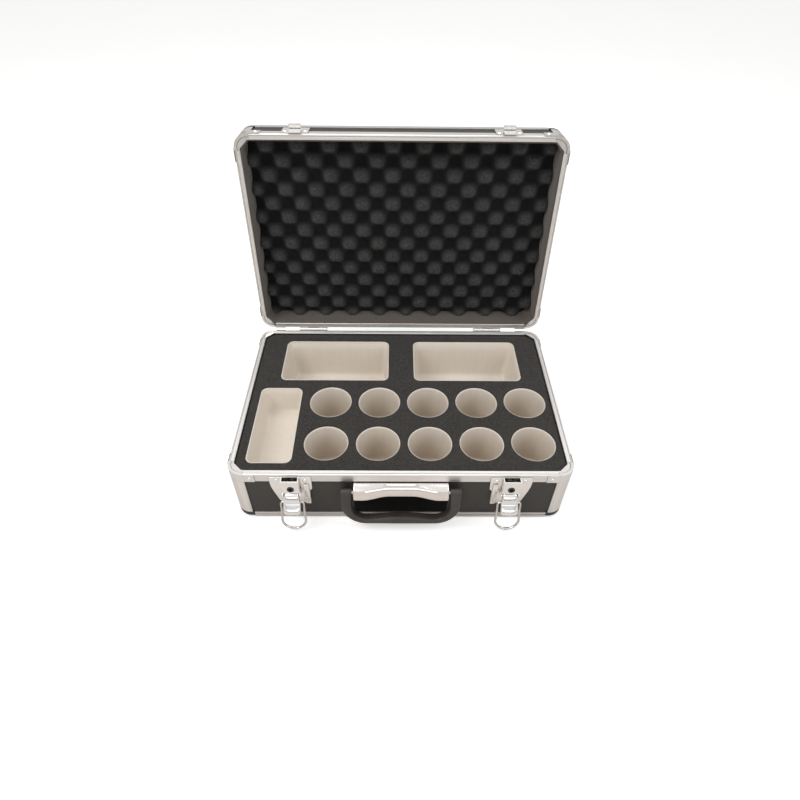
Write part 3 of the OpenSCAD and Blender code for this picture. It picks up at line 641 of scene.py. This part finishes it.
def build_tray(side, centre, size, height, draft):
    lip = FOAM_TOP + 0.05
    bottom = FOAM_TOP - height + 0.02
    floor = bottom + 1.5
    wall = 1.25
    inner = wall + 0.4
    fillet = 5.5

    def outline(z, inset):
        t = (lip - z) / height
        width, depth = (length - 2 * draft * t - 2 * inset for length in size)
        return rounded_rect(width, depth, max(2.5, TRAY_CORNER - inset * 0.6))

    # height that sets the taper, inset, z
    stations = [(bottom, 3.0, bottom), (bottom, 0.6, bottom + 0.15)]
    stations += [(z, 0.05, z) for z in (floor, bottom + height * 0.35, bottom + height * 0.7,
                                        lip - 3, lip - 0.45)]
    stations += [(lip, 0.18, lip - 0.08), (lip, 0.5, lip + 0.08), (lip, 0.9, lip),
                 (lip, wall, lip - 0.4), (lip, wall + 0.05, lip - 2.4)]
    # a shallow step below the lip, then the inner wall
    stations += [(lip - 3.4, wall + 0.08, lip - 3.4), (lip - 4.0, wall + 0.38, lip - 4.0)]
    for part in (0.2, 0.4, 0.6, 0.8):
        z = lip - 4.0 - part * (height - 12)
        stations.append((z, inner, z))
    for angle in map(math.radians, (0, 20, 40, 60, 78, 90)):
        stations.append((floor + fillet, inner + fillet * (1 - math.cos(angle)),
                         floor + fillet - fillet * math.sin(angle)))
    levels = [(outline(taper_z, inset), z) for taper_z, inset, z in stations]
    rim = levels[-1][0]
    for scale in (0.75, 0.4):
        levels.append(([(x * scale, y * scale) for x, y in rim], floor + 0.02))

    def wobble(point):
        if point.z > lip - 1.2:
            return Vector((0, 0, 0))
        return Vector((0.10 * ripple(point.y * 0.03, point.z * 0.04, 1.0 + centre[0]),
                       0.10 * ripple(point.x * 0.03, point.z * 0.04, 5.0), 0.0))

    verts, faces = [], []
    loft(levels, verts, faces, centre, wobble)
    make(f"tray_{side}_liner", verts, faces, "tray", "case_base", f"tray_{side}", "liner",
         sharp=40.0)


# ---------------------------------------------------------------- inside of the lid
def egg_surface(x, y):
    """Height of the egg-crate face, and how near it is to a tip (0 to 1)."""
    swell = (math.cos(2 * math.pi * (x - EGG_FIRST_X) / EGG_PITCH_X)
             * math.cos(2 * math.pi * (y - EGG_FIRST_Y) / EGG_PITCH_Y))
    swell += 0.06 * ripple(x * 0.03, y * 0.03, 0.7)
    t = max(0.0, min(1.0, (swell + 1) / 2))
    peak = 0.5 - 0.5 * math.cos(math.pi * t ** 1.4)
    rough = 0.16 * ripple(x * 0.35, y * 0.35, 2.0) + 0.30 * ripple(x * 0.08, y * 0.08, 4.0)
    # the sheet's edges are pressed back a little
    pressed = 1.2 * (1 - smooth_step(min(EGG_X - abs(x), EGG_Y - abs(y)) / 5.0))
    z = max(EGG_VALLEY + (EGG_TIP - EGG_VALLEY) * peak + rough, EGG_TIP - 0.1)
    return min(z + pressed, EGG_VALLEY + 0.7), peak


def build_egg_foam():
    columns, rows = EGG_COLUMNS, EGG_ROWS
    width = columns + 1
    verts, faces, valley_shade = [], [], []
    for j in range(rows + 1):
        y = -EGG_Y + 2 * EGG_Y * j / rows
        half = EGG_X - max(0.0, abs(y) - (EGG_Y - EGG_LEG))
        for i in range(width):
            x = -half + 2 * half * i / columns
            z, peak = egg_surface(x, y)
            verts.append((x, y, z))
            # nearness to a tip also sets the painted valley shade
            valley_shade.append(peak)
    for j in range(rows):
        for i in range(columns):
            corner = j * width + i
            faces.append((corner, corner + 1, corner + width + 1, corner + width))
    # side walls and flat back
    border = list(range(width))
    border += [j * width + columns for j in range(1, rows + 1)]
    border += [rows * width + i for i in range(columns - 1, -1, -1)]
    border += [j * width for j in range(rows - 1, 0, -1)]
    base, count = len(verts), len(border)
    for index in border:
        verts.append((*verts[index][:2], EGG_BACK))
        # the walls and back take the full painted shade
        valley_shade.append(0.0)
    for j in range(count):
        k = (j + 1) % count
        faces.append((border[k], border[j], base + j, base + k))
    cap(faces, base, count)
    make("egg_crate_foam", verts, faces, "egg", "lid", "lid_egg_foam", "egg_foam",
         sharp=70.0, frame=LID_OPEN, valley_shade=valley_shade)


# inset, height above the closed lid's lower edge: down outside, round the edge, up inside
LINING_PROFILE = (
    (0.0, 35.5), (0.0, 12.5), (0.0, 1.6), (0.25, 1.0), (0.7, 0.8), (1.15, 1.0), (1.4, 1.7),
    (1.45, 6), (1.5, 12), (1.5, 18), (1.5, 24), (1.5, 30), (1.5, 34.7))


def lining_sag(point):
    """Bulge the lining's inner face inwards."""
    if (point.z < LID_BOTTOM + 4 or point.z > LID_BOTTOM + 34
            or abs(abs(point.x) - INNER_X) < 0.01 or abs(abs(point.y) - INNER_Y) < 0.01):
        return Vector((0, 0, 0))
    sag = abs(0.35 * ripple(point.x * 0.05, point.y * 0.05, point.z * 0.09))
    if abs(point.x) / 192 > abs(point.y) / 124:
        return Vector((-math.copysign(sag, point.x), 0, 0))
    return Vector((0, -math.copysign(sag, point.y), 0))


def build_lining():
    levels = [(inner_outline(inset, 0.58), LID_BOTTOM + z) for inset, z in LINING_PROFILE]
    verts, faces = [], []
    loft(levels, verts, faces, (0, 0), lining_sag)
    make("lid_lining_fabric", verts, faces, "lining", "lid", "lid_lining", "lining",
         sharp=40.0, frame=LID_OPEN)


# ---------------------------------------------------------------- handle
# Grip frame: x along the handle, z up the arms, origin on the pivot axis.
# A ring is: centre, inward normal, half size inwards, outwards and along y, squareness.
# lug rings above the axis: z, inner x, outer x
GRIP_LUG = ((4.72, 58.2, 68.6), (4.55, 57.5, 69.3), (4.0, 57.0, 69.8), (3.0, 56.9, 69.9),
            (1.6, 56.9, 69.9))


def grip_ring(s):
    """Ring at s, from 0 (pivot axis) to 1 (middle of the bar)."""
    bend_length = GRIP_BEND * math.pi / 2
    straight = GRIP_X - GRIP_BEND
    run = s * (GRIP_ARM + bend_length + straight)
    square = 3.3 + 2.4 * max(0.0, 1 - s * 7)
    if run <= GRIP_ARM:
        k = smooth_step(run / GRIP_ARM)
        return (Vector((GRIP_X, 0, -run)), Vector((-1, 0, 0)),
                6.9 - 0.6 * k, 6.1, 4.7 + 1.2 * k, square)
    if run <= GRIP_ARM + bend_length:
        angle = (run - GRIP_ARM) / GRIP_BEND
        t = (run - GRIP_ARM) / bend_length
        centre = Vector((straight + GRIP_BEND * math.cos(angle), 0,
                         -GRIP_ARM - GRIP_BEND * math.sin(angle)))
        return (centre, Vector((-math.cos(angle), 0, math.sin(angle))),
                6.3 - 3.8 * smooth_step(t * 1.05), 6.1 - 0.3 * t, 5.9, square)
    x = straight - (run - GRIP_ARM - bend_length)
    t = 1 - x / straight
    return (Vector((x, 0, -(GRIP_ARM + GRIP_BEND))), Vector((0, 0, 1)),
            2.5 + 3.0 * smooth_step(t * 1.15), 5.8, 5.9 + 0.2 * smooth_step(t), square)


def build_grip():
    rings = []
    # lug: half round about the axis, flat outer and inner faces
    for z, inner_x, outer_x in GRIP_LUG:
        half_depth = math.sqrt(max(4.8 ** 2 - z ** 2, 0.15))
        rings.append((Vector((GRIP_X, 0, z)), Vector((-1, 0, 0)),
                      GRIP_X - inner_x, outer_x - GRIP_X, half_depth, 6.0))
    rings += [grip_ring(k / GRIP_STEPS) for k in range(GRIP_STEPS + 1)]
    for centre, normal, *sizes in reversed(rings[:-1]):
        rings.append((Vector((-centre.x, 0, centre.z)), Vector((-normal.x, 0, normal.z)), *sizes))

    verts, faces = [], []
    for centre, normal, half_in, half_out, half_depth, square in rings:
        for j in range(GRIP_SEGMENTS):
            angle = 2 * math.pi * (j + 0.5) / GRIP_SEGMENTS
            u, v = (math.copysign(abs(part) ** (2 / square), part)
                    for part in (math.cos(angle), math.sin(angle)))
            verts.append(centre + normal * u * (half_in if u > 0 else half_out)
                         + Vector((0, 1, 0)) * v * half_depth)
    bridge(len(rings), faces, 0, GRIP_SEGMENTS)
    cap(faces, 0, GRIP_SEGMENTS)
    cap(faces, (len(rings) - 1) * GRIP_SEGMENTS, GRIP_SEGMENTS)
    make("handle_grip_moulded", verts, faces, "grip", "handle", "handle_grip", "grip_plastic",
         sharp=50.0, frame=placed(0, GRIP_AXIS_Y, GRIP_AXIS_Z, GRIP_TILT))


def bracket_section(x):
    """Section of the arched shell, open at the back, as (y, z)."""
    swell = smooth_step((abs(x) - 13) / 32)
    end = min(1.0, max(0.0, (BRACKET_X - abs(x)) / 1.2))
    ease = 0.9 * (1 - math.sqrt(max(0.0, 1 - (1 - end) ** 2)))  # rounds the ends over
    wall = CASE_FRONT
    front = wall + BRACKET_END_REACH + BRACKET_SWELL * swell - ease
    low = 55.0 + ease
    crease = 64.5 - 1.4 * swell
    # distance in front of the origin, z
    outside = [
        (wall + 0.15, 71.45 - ease), (wall + 1.2, 71.5 - ease), (wall + 2.6, 71.3 - ease),
        (front - 5.0, 69.7 - ease), (front - 3.4, 68.6 - ease), (front - 1.9, crease + 2.0),
        (front - 1.2, crease + 0.4), (front - 0.8, crease - 0.7), (front - 0.3, crease - 3.0),
        (front - 0.05, low + 3.0), (front, low + 1.2), (front - 0.25, low + 0.4),
        (front - 0.9, low)]
    inside_face = [
        (front - 1.8, low + 0.15), (front - 2.1, low + 0.8), (front - 2.2, low + 3),
        (front - 2.6, crease - 3), (front - 3.2, crease - 0.9), (front - 4.2, crease + 1.4),
        (front - 5.6, 67.2 - ease), (wall + 3.2, 69.0 - ease), (wall + 1.4, 69.3 - ease),
        (wall + 0.15, 69.3 - ease)]
    return [(-reach, z) for reach, z in outside + inside_face]


def build_bracket():
    xs = [-BRACKET_X + 2 * BRACKET_X * i / 88 for i in range(89)]
    xs = sorted(xs + [side * x for side in (-1, 1) for x in (53.8, 54.4, 54.8)])
    verts, faces = [], []
    for x in xs:
        section = bracket_section(x)
        verts += [(x, y, z) for y, z in section]
    count = len(section)
    bridge(len(xs), faces, 0, count)
    cap(faces, 0, count)
    cap(faces, (len(xs) - 1) * count, count)

    # end walls: distance in front of the origin, z
    wall = CASE_FRONT
    front = wall + BRACKET_END_REACH + BRACKET_SWELL
    profile = [(wall + 0.2, 55.0), (wall + 0.2, 71.0), (wall + 2.6, 70.6), (front - 5.2, 69.0),
               (front - 2.4, 65.4), (front - 1.0, 61.0), (front - 0.7, 56.6), (front - 1.6, 55.4)]
    count = len(profile)
    for side in (-1, 1):
        base = len(verts)
        for x in (52.4, 54.7):
            verts += [(side * x, -reach, z) for reach, z in profile]
        bridge(2, faces, base, count)
        cap(faces, base, count)
        cap(faces, base + count, count)
    make("handle_bracket_cast", verts, faces, "cast", "case_base", "handle_bracket",
         "hardware_chrome", sharp=32.0)


# ---------------------------------------------------------------- latches
# Lever frame: axis at the origin, hanging along -z, outward is -y.
# distance down, outer face y, half width, crown
LEVER_STATIONS = (
    (-2.6, -1.2, 7.4, 0.5), (-2.2, -1.9, 8.0, 0.5), (-1.2, -2.5, 8.5, 0.6),
    (0.6, -3.5, 8.8, 0.8), (3.4, -3.6, 8.95, 0.9), (5.0, -3.6, 9.0, 0.9),
    (7.5, -3.4, 9.05, 0.9), (9.6, -3.0, 9.8, 0.8), (10.8, -2.4, 10.1, 0.8),
    (11.6, -2.1, 10.2, 0.8), (12.8, -2.4, 10.2, 0.9), (15.0, -2.9, 10.2, 1.2),
    (17.8, -3.5, 10.2, 1.4), (20.6, -3.9, 10.1, 1.5), (22.8, -3.6, 9.8, 1.3),
    (24.4, -3.0, 9.2, 1.0), (25.4, -2.2, 8.4, 0.7), (26.1, -1.6, 7.5, 0.5),
    (26.4, -1.0, 6.6, 0.3))
LEVER_SEGMENTS, LEVER_THICKNESS = 22, 1.2
SHOULDER = 1.7  # bend radius between face and side flange
FACE_PART, SHOULDER_PART = 0.72, 0.55  # face's share of the half width; shoulder's of the rest

# Bail frame: eye on the x axis, hanging along -z. One side of the wire, x and z
BAIL_SIDE = ((6.4, 0), (9.2, 0), (11.7, -0.2), (13.1, -1.6), (13.3, -4), (13.2, -10),
             (13.5, -19), (13.9, -26.4))
BAIL_ARC_Z, BAIL_ARC_X, BAIL_ARC_DROP = -27.2, 14.0, 13.4  # half ellipse at the bottom
WIRE_RADIUS, JOINT_RADIUS, WIRE_SEGMENTS = 1.38, 1.55, 16


def lever_point(u, down, face_y, half_width, crown):
    """Outer point at u across (-1 to 1), and its direction to the inner surface."""
    side = math.copysign(1, u)
    base_y = face_y - crown
    if abs(u) < FACE_PART:
        x = u / FACE_PART * (half_width - SHOULDER)
        return x, base_y + crown * (x / half_width) ** 2, 0, 1
    q = (abs(u) - FACE_PART) / (1 - FACE_PART)
    base_y += crown * 0.78
    if q < SHOULDER_PART:
        angle = q / SHOULDER_PART * math.pi / 2
        x = half_width - SHOULDER + SHOULDER * math.sin(angle)
        y = base_y + SHOULDER * (1 - math.cos(angle))
        return side * x, y, -side * math.sin(angle), math.cos(angle)
    flange = max(0.3, 2.9 - max(0.0, down - 13) * 0.25)
    y = base_y + SHOULDER + (q - SHOULDER_PART) / (1 - SHOULDER_PART) * flange
    return side * half_width, y, -side, 0


def lever_mesh():
    outer, inner, faces = [], [], []
    for station in LEVER_STATIONS:
        for j in range(LEVER_SEGMENTS + 1):
            x, y, in_x, in_y = lever_point(-1 + 2 * j / LEVER_SEGMENTS, *station)
            outer.append(Vector((x, y, -station[0])))
            inner.append(Vector((x + in_x * LEVER_THICKNESS, y + in_y * LEVER_THICKNESS,
                                 -station[0])))
    width, last = LEVER_SEGMENTS + 1, len(LEVER_STATIONS) - 1
    back = len(outer)
    for base in (0, back):
        for i in range(last):
            for j in range(LEVER_SEGMENTS):
                a = base + i * width + j
                face = (a, a + 1, a + width + 1, a + width)
                faces.append(face if base == 0 else face[::-1])
    # close the edges between the two surfaces
    for i in range(last):
        for j in (0, LEVER_SEGMENTS):
            a = i * width + j
            faces.append((a, a + width, back + a + width, back + a))
    for i in (0, last):
        for j in range(LEVER_SEGMENTS):
            a = i * width + j
            faces.append((a, a + 1, back + a + 1, back + a))
    return outer + inner, faces


def spline(points, steps):
    """Catmull-Rom curve through the points, `steps` samples per span."""
    points = [points[0] * 2 - points[1]] + points + [points[-1] * 2 - points[-2]]
    curve = []
    for a, b, c, d in zip(points, points[1:], points[2:], points[3:]):
        for k in range(steps):
            t = k / steps
            curve.append(0.5 * ((2 * b) + (c - a) * t + (2 * a - 5 * b + 4 * c - d) * t * t
                                + (3 * b - a - 3 * c + d) * t ** 3))
    curve.append(points[-2])
    return curve


def tube(path, radius, verts, faces):
    """Round wire with chamfered ends, along a path in the xz plane."""
    base, last, count = len(verts), len(path) - 1, WIRE_SEGMENTS
    for i, point in enumerate(path):
        along = (path[min(i + 1, last)] - path[max(i - 1, 0)]).normalized()
        u = along.cross(Vector((0, 1, 0))).normalized()
        v = along.cross(u).normalized()
        for j in range(count):
            angle = 2 * math.pi * j / count
            verts.append(point + (u * math.cos(angle) + v * math.sin(angle)) * radius)
    bridge(last + 1, faces, base, count)
    for i, neighbour in ((0, 1), (last, last - 1)):
        end = path[i]
        tip = end + (end - path[neighbour]).normalized() * 0.25 * radius
        ring, tip_base = base + i * count, len(verts)
        for j in range(count):
            verts.append(tip + (verts[ring + j] - end) * 0.72)
        for j in range(count):
            k = (j + 1) % count
            faces.append((ring + j, ring + k, tip_base + k, tip_base + j))
        cap(faces, tip_base, count)


def bail_mesh():
    path = [Vector((x, 0, z)) for x, z in BAIL_SIDE]
    for k in range(1, 18):
        angle = math.pi * k / 18
        path.append(Vector((BAIL_ARC_X * math.cos(angle), 0,
                            BAIL_ARC_Z - BAIL_ARC_DROP * math.sin(angle))))
    path += [Vector((-x, 0, z)) for x, z in reversed(BAIL_SIDE)]
    verts, faces = [], []
    tube(spline(path, 5), WIRE_RADIUS, verts, faces)
    # pressed joint where the wire's ends meet
    joint = [Vector((x, 0, BAIL_ARC_Z - BAIL_ARC_DROP)) for x in (-2.4, -2.3, 2.3, 2.4)]
    tube(joint, JOINT_RADIUS, verts, faces)
    return verts, faces


def build_latch(name, x):
    sine, cosine = math.sin(math.radians(LEVER_TILT)), math.cos(math.radians(LEVER_TILT))
    eye_y = LATCH_Y - EYE_DOWN * sine + EYE_IN * cosine
    eye_z = LATCH_Z - EYE_DOWN * cosine - EYE_IN * sine
    make("latch_lever_pressed_" + name, *lever_mesh(), "chrome", "lever_" + name,
         "latch_lever_" + name, "hardware_chrome", sharp=60.0,
         frame=placed(x, LATCH_Y, LATCH_Z, LEVER_TILT))
    make("latch_bail_wire_" + name, *bail_mesh(), "wire", "bail_" + name,
         "latch_bail_" + name, "hardware_steel", sharp=60.0,
         frame=placed(x, eye_y, eye_z, BAIL_TILT))


# ---------------------------------------------------------------- the CAD parts that stay
# material, width of the softened edge in mm
CAD_FINISH = {
    "base_corner_columns": ("alu_z", 0.2), "lid_corner_columns": ("alu_y", 0.2),
    "base_floor": ("panel", 0.3), "lid_panel_top": ("panel", 0.3),
    "hinge_base_leaves": ("steel", 0.2), "hinge_lid_leaves": ("steel", 0.2),
    "hinge_pins": ("steel", 0.15), "handle_pins": ("steel", 0.2), "latch_pins": ("steel", 0.2),
    "latch_plate_left": ("steel", 0.22), "latch_plate_right": ("steel", 0.22),
    "lid_catches": ("steel", 0.2),
    "lock_barrel_left": ("dark_steel", 0.2), "lock_barrel_right": ("dark_steel", 0.2),
}
for part, side_metal in (("base", "alu_y"), ("lid", "alu_lid")):
    for side in ("front", "back", "left", "right"):
        frame_metal = "alu_x" if side in ("front", "back") else side_metal
        CAD_FINISH[f"{part}_rim_{side}"] = (frame_metal, 0.25)
        CAD_FINISH[f"{part}_edge_{side}"] = (frame_metal, 0.25)
        # the base's front panel gets the painted shadow behind the handle
        panel = "panel_handle_shadow" if (part, side) == ("base", "front") else "panel"
        CAD_FINISH[f"{part}_panel_{side}"] = (panel, 0.3)
    CAD_FINISH[f"{part}_ball_corners"] = ("black", 0.3)
    CAD_FINISH[f"{part}_rim_brackets"] = ("bracket", 0.3)
    CAD_FINISH[f"{part}_corner_blocks"] = ("bracket", 0.25)
    CAD_FINISH[f"{part}_fasteners"] = ("steel", 0.0)


def finish_cad_parts():
    for name, (material, edge) in CAD_FINISH.items():
        cad_part = bpy.data.objects[name]
        cad_part.data.materials.clear()
        cad_part.data.materials.append(MATERIALS[material])
        smooth_shade(cad_part.data, 32)
        if edge:
            bevel = cad_part.modifiers.new("soft_edge", "BEVEL")
            bevel.width = edge * MM
            bevel.segments = 2
            bevel.limit_method = "ANGLE"
            bevel.angle_limit = math.radians(40)
            bevel.use_clamp_overlap = True


# ---------------------------------------------------------------- floor, world, lights, camera
def build_floor():
    half = 40  # metres
    mesh = bpy.data.meshes.new("floor")
    mesh.from_pydata([(-half, -half, 0), (half, -half, 0), (half, half, 0), (-half, half, 0)],
                     [], [(0, 1, 2, 3)])
    floor = bpy.data.objects.new("floor", mesh)
    scene.collection.objects.link(floor)
    mat = Material("studio_floor")
    ray = mat.add("ShaderNodeLightPath").outputs
    patch_dark, patch_light, reflected = (0.90, 0.90, 0.895), (0.93, 0.93, 0.93), (0.72, 0.68, 0.65)
    tone = mat.mix(patch_dark, patch_light, mat.noise(scale=3.0))
    # the floor glows for the camera alone and looks darker in reflections
    mat.set(Base_Color=mat.mix(tone, reflected, ray["Is Glossy Ray"]), Roughness=0.8,
            Emission_Color=(1.0, 1.0, 1.0),
            Emission_Strength=mat.remap(ray["Is Camera Ray"], to=(0.0, 0.42)))
    mesh.materials.append(mat.material)
    return floor


def build_world():
    world = bpy.data.worlds.new("studio")
    scene.world = world
    sky = Graph(world)
    height = sky.remap(sky.axis(sky.coords["Generated"], "Z"))
    plain = sky.grey_ramp(
        height, first=(0.80, 0.80, 0.80), last=(1.0, 1.0, 1.0), tint=(1.0, 1.0, 0.985),
        between=((0.12, 0.92), (0.30, 0.45), (0.52, 0.70), (0.75, 1.0)))
    # metal sees a studio with darker bands near the horizon
    banded = sky.grey_ramp(
        height, first=(0.30, 0.29, 0.28), last=(1.0, 1.0, 1.0), tint=(1.0, 0.995, 0.985),
        between=((0.10, 0.42), (0.18, 0.95), (0.34, 1.0), (0.44, 0.50), (0.60, 0.74),
                 (0.78, 0.97)))
    glossy = sky.add("ShaderNodeLightPath").outputs["Is Glossy Ray"]
    background = sky.tree.nodes["Background"].inputs
    sky.feed(background["Color"], sky.mix(plain, banded, glossy))
    sky.feed(background["Strength"], sky.remap(glossy, to=(0.60, 0.95)))


def area_light(name, place, aim, size, power, colour=(1, 1, 1)):
    light = bpy.data.lights.new(name, "AREA")
    light.shape = "RECTANGLE"
    light.size, light.size_y = size
    light.energy = power
    light.color = colour
    lamp = bpy.data.objects.new(name, light)
    lamp.location = place
    lamp.rotation_euler = (Vector(aim) - Vector(place)).to_track_quat("-Z", "Y").to_euler()
    scene.collection.objects.link(lamp)


def build_lights():
    area_light("key", place=(-0.9, -0.5, 1.5), aim=(0, 0, 0.08), size=(1.1, 0.9), power=11.0,
               colour=(1.0, 0.985, 0.965))
    area_light("fill", place=(1.1, -0.3, 1.2), aim=(0, 0, 0.08), size=(0.9, 0.9), power=5.0)
    area_light("top", place=(0.0, 0.5, 1.7), aim=(0, 0.05, 0.1), size=(1.2, 0.6), power=5.5)
    area_light("front", place=(0.0, -1.5, 0.55), aim=(0, -0.1, 0.06), size=(1.6, 0.5), power=2.5)


def build_camera():
    """Camera in front of and above the case, looking down into it."""
    lens = bpy.data.cameras.new("camera")
    lens.sensor_width = 36.0
    lens.sensor_fit = "HORIZONTAL"
    lens.lens = 25.639
    lens.clip_start = 0.01
    camera = bpy.data.objects.new("camera", lens)
    turn = Matrix(((0.999949, -0.004404, -0.009104),
                   (-0.00331, 0.708144, -0.706061),
                   (0.009557, 0.706055, 0.708093)))
    camera.matrix_world = Matrix.Translation((-0.007643, -0.528122, 0.603183)) @ turn.to_4x4()
    scene.collection.objects.link(camera)
    scene.camera = camera


# ---------------------------------------------------------------- build
build_base_foam()
build_cups()
for tray in TRAYS:
    build_tray(*tray[:5])
build_egg_foam()
build_lining()
build_grip()
build_bracket()
build_latch("left", -LATCH_X)
build_latch("right", LATCH_X)
finish_cad_parts()

scene.view_settings.view_transform = "Standard"
scene.view_settings.look = "None"
scene.view_settings.exposure = 0.0
studio_floor = build_floor()
build_world()
build_lights()
build_camera()
